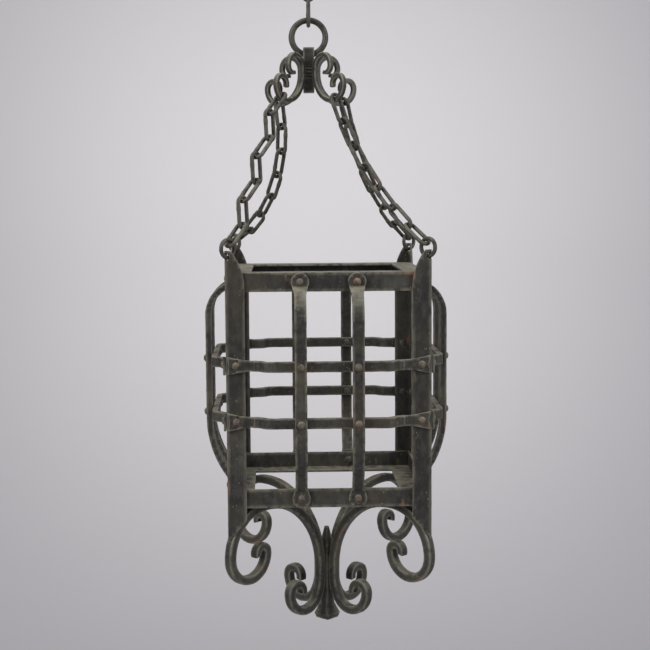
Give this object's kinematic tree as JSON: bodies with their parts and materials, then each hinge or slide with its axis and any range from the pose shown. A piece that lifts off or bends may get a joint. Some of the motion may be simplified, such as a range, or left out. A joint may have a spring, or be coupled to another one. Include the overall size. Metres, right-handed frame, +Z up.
{
  "type": "hanging lantern",
  "caption": "Square open lantern cage of angle iron and woven bars, hung by slack chains from a scrolled crown and ring, with C-scrolls and a finial below.",
  "frame": {"origin": "hanging point, inside the top of the upper suspension link", "axes": "+Z up along the hung lantern, +X to the right and -Y towards the front of the cage as pictured"},
  "size_m": [0.3304, 0.3304, 0.8928],
  "materials": {
    "angle_iron": "black forged iron, matt, dusty on its upper faces",
    "woven_bars": "black forged iron, worn lighter along its edges",
    "scrolls": "black forged iron with dust and a little rust",
    "links": "dark iron wire, worn brighter where it rubs",
    "rivets": "dark iron rivets with rust round their heads"
  },
  "bodies": {
    "upper_link": {"suspension_link_upper": "links"},
    "lower_link": {"suspension_link_lower": "links"},
    "hanging_ring": {"hanging_ring": "links"},
    "crown": {"crown_post": "scrolls", "crown_scroll_front_left": "scrolls", "crown_scroll_front_right": "scrolls", "crown_scroll_back_left": "scrolls", "crown_scroll_back_right": "scrolls"},
    "cage": {"corner_post_front_left": "angle_iron", "corner_post_front_right": "angle_iron", "corner_post_back_left": "angle_iron", "corner_post_back_right": "angle_iron", "top_rail_front": "angle_iron", "top_rail_right": "angle_iron", "top_rail_back": "angle_iron", "top_rail_left": "angle_iron", "bottom_rail_front": "angle_iron", "bottom_rail_right": "angle_iron", "bottom_rail_back": "angle_iron", "bottom_rail_left": "angle_iron", "bar_front_left": "woven_bars", "bar_front_right": "woven_bars", "bar_right_front": "woven_bars", "bar_right_back": "woven_bars", "bar_back_right": "woven_bars", "bar_back_left": "woven_bars", "bar_left_back": "woven_bars", "bar_left_front": "woven_bars", "strap_front_upper": "woven_bars", "strap_front_lower": "woven_bars", "strap_right_upper": "woven_bars", "strap_right_lower": "woven_bars", "strap_back_upper": "woven_bars", "strap_back_lower": "woven_bars", "strap_left_upper": "woven_bars", "strap_left_lower": "woven_bars", "foot_scroll_front_left": "scrolls", "foot_scroll_front_right": "scrolls", "foot_scroll_back_left": "scrolls", "foot_scroll_back_right": "scrolls", "finial": "scrolls", "strap_end_rivets": "rivets", "crossing_rivets": "rivets", "bar_head_rivets": "rivets", "bar_foot_rivets": "rivets"},
    "leg_front_left": {"chain_front_left": "links"},
    "leg_front_right": {"chain_front_right": "links"},
    "leg_back_left": {"chain_back_left": "links"},
    "leg_back_right": {"chain_back_right": "links"},
    "small_ring_front_left": {"corner_ring_front_left": "links"},
    "small_ring_front_right": {"corner_ring_front_right": "links"},
    "small_ring_back_left": {"corner_ring_back_left": "links"},
    "small_ring_back_right": {"corner_ring_back_right": "links"}
  },
  "joints": [
    {"name": "suspension_twist", "type": "hinge", "parent": "upper_link", "child": "lower_link", "pos_m": [0, 0, -0.031], "axis": [0, 0, 1], "range_deg": [-25, 25]},
    {"name": "ring_swing", "type": "hinge", "parent": "lower_link", "child": "hanging_ring", "pos_m": [0, 0, -0.0712], "axis": [0, 1, 0], "range_deg": [-25, 25]},
    {"name": "crown_swing", "type": "hinge", "parent": "hanging_ring", "child": "crown", "pos_m": [0, 0, -0.10955], "axis": [1, 0, 0], "range_deg": [-20, 20]},
    {"name": "cage_sway", "type": "hinge", "parent": "crown", "child": "cage", "pos_m": [0, 0, -0.1], "axis": [1, 0, 0], "range_deg": [-3.5, 3.5]},
    {"name": "leg_swing_front_left", "type": "hinge", "parent": "crown", "child": "leg_front_left", "pos_m": [-0.03721, -0.04938, -0.17106], "axis": [1, 0, 0], "range_deg": [-5, 5]},
    {"name": "leg_swing_front_right", "type": "hinge", "parent": "crown", "child": "leg_front_right", "pos_m": [0.03426, -0.04547, -0.1729], "axis": [1, 0, 0], "range_deg": [-5, 5]},
    {"name": "leg_swing_back_left", "type": "hinge", "parent": "crown", "child": "leg_back_left", "pos_m": [-0.04138, 0.03472, -0.17338], "axis": [1, 0, 0], "range_deg": [-5, 5]},
    {"name": "leg_swing_back_right", "type": "hinge", "parent": "crown", "child": "leg_back_right", "pos_m": [0.04891, 0.02939, -0.17287], "axis": [1, 0, 0], "range_deg": [-5, 5]},
    {"name": "small_ring_turn_front_left", "type": "hinge", "parent": "cage", "child": "small_ring_front_left", "pos_m": [-0.10768, -0.12768, -0.36568], "axis": [0.7071, -0.7071, 0], "continuous": true},
    {"name": "small_ring_turn_front_right", "type": "hinge", "parent": "cage", "child": "small_ring_front_right", "pos_m": [0.14768, -0.12768, -0.36568], "axis": [0.7071, 0.7071, 0], "continuous": true},
    {"name": "small_ring_turn_back_left", "type": "hinge", "parent": "cage", "child": "small_ring_back_left", "pos_m": [-0.10768, 0.12768, -0.36568], "axis": [-0.7071, -0.7071, 0], "continuous": true},
    {"name": "small_ring_turn_back_right", "type": "hinge", "parent": "cage", "child": "small_ring_back_right", "pos_m": [0.14768, 0.12768, -0.36568], "axis": [-0.7071, 0.7071, 0], "continuous": true}
  ],
  "couplings": [
    {"joint": "leg_swing_front_left", "follows": "cage_sway", "ratio": 1.405},
    {"joint": "leg_swing_front_right", "follows": "cage_sway", "ratio": 1.41},
    {"joint": "leg_swing_back_left", "follows": "cage_sway", "ratio": 1.385},
    {"joint": "leg_swing_back_right", "follows": "cage_sway", "ratio": 1.365}
  ]
}
